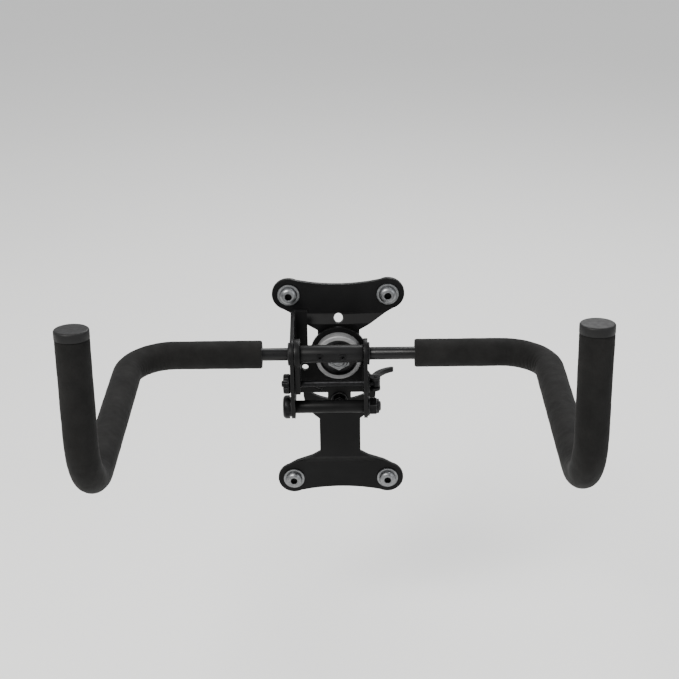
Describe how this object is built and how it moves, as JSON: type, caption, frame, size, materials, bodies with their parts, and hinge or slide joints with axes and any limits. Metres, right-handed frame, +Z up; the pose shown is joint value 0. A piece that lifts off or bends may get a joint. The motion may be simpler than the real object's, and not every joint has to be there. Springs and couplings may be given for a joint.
{
  "type": "bicycle wall rack",
  "caption": "Wall-mounted bicycle rack: a screwed plate, a swivelling yoke with a quick-release lock, and a pair of foam-covered hooks that fold up.",
  "frame": {"origin": "centre of the four wall screws, on the wall plane", "axes": "+Y into the wall along the screws, +X to the right facing the wall, +Z up; the hooks reach out along -Y"},
  "size_m": [0.3464, 0.3052, 0.2741],
  "materials": {
    "black_steel": "satin black powder coat",
    "rod_steel": "smooth black coat",
    "sleeve_steel": "satin dark grey coat",
    "zinc_steel": "zinc plated",
    "black_bolt": "black oxide",
    "satin_metal": "turned satin",
    "nylon": "moulded",
    "foam": "matte closed-cell foam",
    "cap_plastic": "moulded",
    "lever_black": "satin black coat"
  },
  "bodies": {
    "wall_mount": {"wall_plate": "black_steel", "wall_screws": "zinc_steel", "wall_washers": "zinc_steel", "pivot_bolt": "zinc_steel", "pivot_washer": "zinc_steel", "pivot_nut": "zinc_steel", "friction_disc": "nylon"},
    "swivel": {"yoke": "black_steel", "hub_ring": "satin_metal", "clamp_bolt": "black_bolt", "clamp_washer": "black_bolt", "clamp_nut": "black_bolt", "left_bush": "nylon", "right_bush": "nylon", "tie_bolt": "black_bolt", "tie_washers": "black_bolt", "tie_nut": "black_bolt", "tie_spacer": "black_steel", "thrust_washer": "nylon"},
    "arms": {"lock_sector": "black_steel", "hub_sleeve": "sleeve_steel", "grub_screws": "black_bolt", "left_arm_rod": "rod_steel", "right_arm_rod": "rod_steel", "left_foam_sleeve": "foam", "right_foam_sleeve": "foam", "left_end_cap": "cap_plastic", "right_end_cap": "cap_plastic"},
    "skewer": {"skewer_rod": "black_bolt", "skewer_nut": "black_bolt", "lever_pin": "black_bolt"},
    "lever": {"qr_lever": "lever_black"}
  },
  "joints": [
    {"name": "swivel_angle", "type": "hinge", "parent": "wall_mount", "child": "swivel", "pos_m": [0, -0.014, 0.038], "axis": [0, 1, 0], "range_deg": [-30, 30]},
    {"name": "arm_fold", "type": "hinge", "parent": "swivel", "child": "arms", "pos_m": [0, -0.05, 0.054], "axis": [1, 0, 0], "range_deg": [-65, 0]},
    {"name": "skewer_slide", "type": "slide", "parent": "swivel", "child": "skewer", "axis": [-1, 0, 0], "range_m": [0, 0.0008]},
    {"name": "lever_turn", "type": "hinge", "parent": "skewer", "child": "lever", "pos_m": [0.02928, -0.05, 0.028], "axis": [0, 0, -1], "range_deg": [0, 150]}
  ],
  "couplings": [
    {"joint": "lever_turn", "follows": "skewer_slide", "rad_per_m": 3272.4}
  ]
}
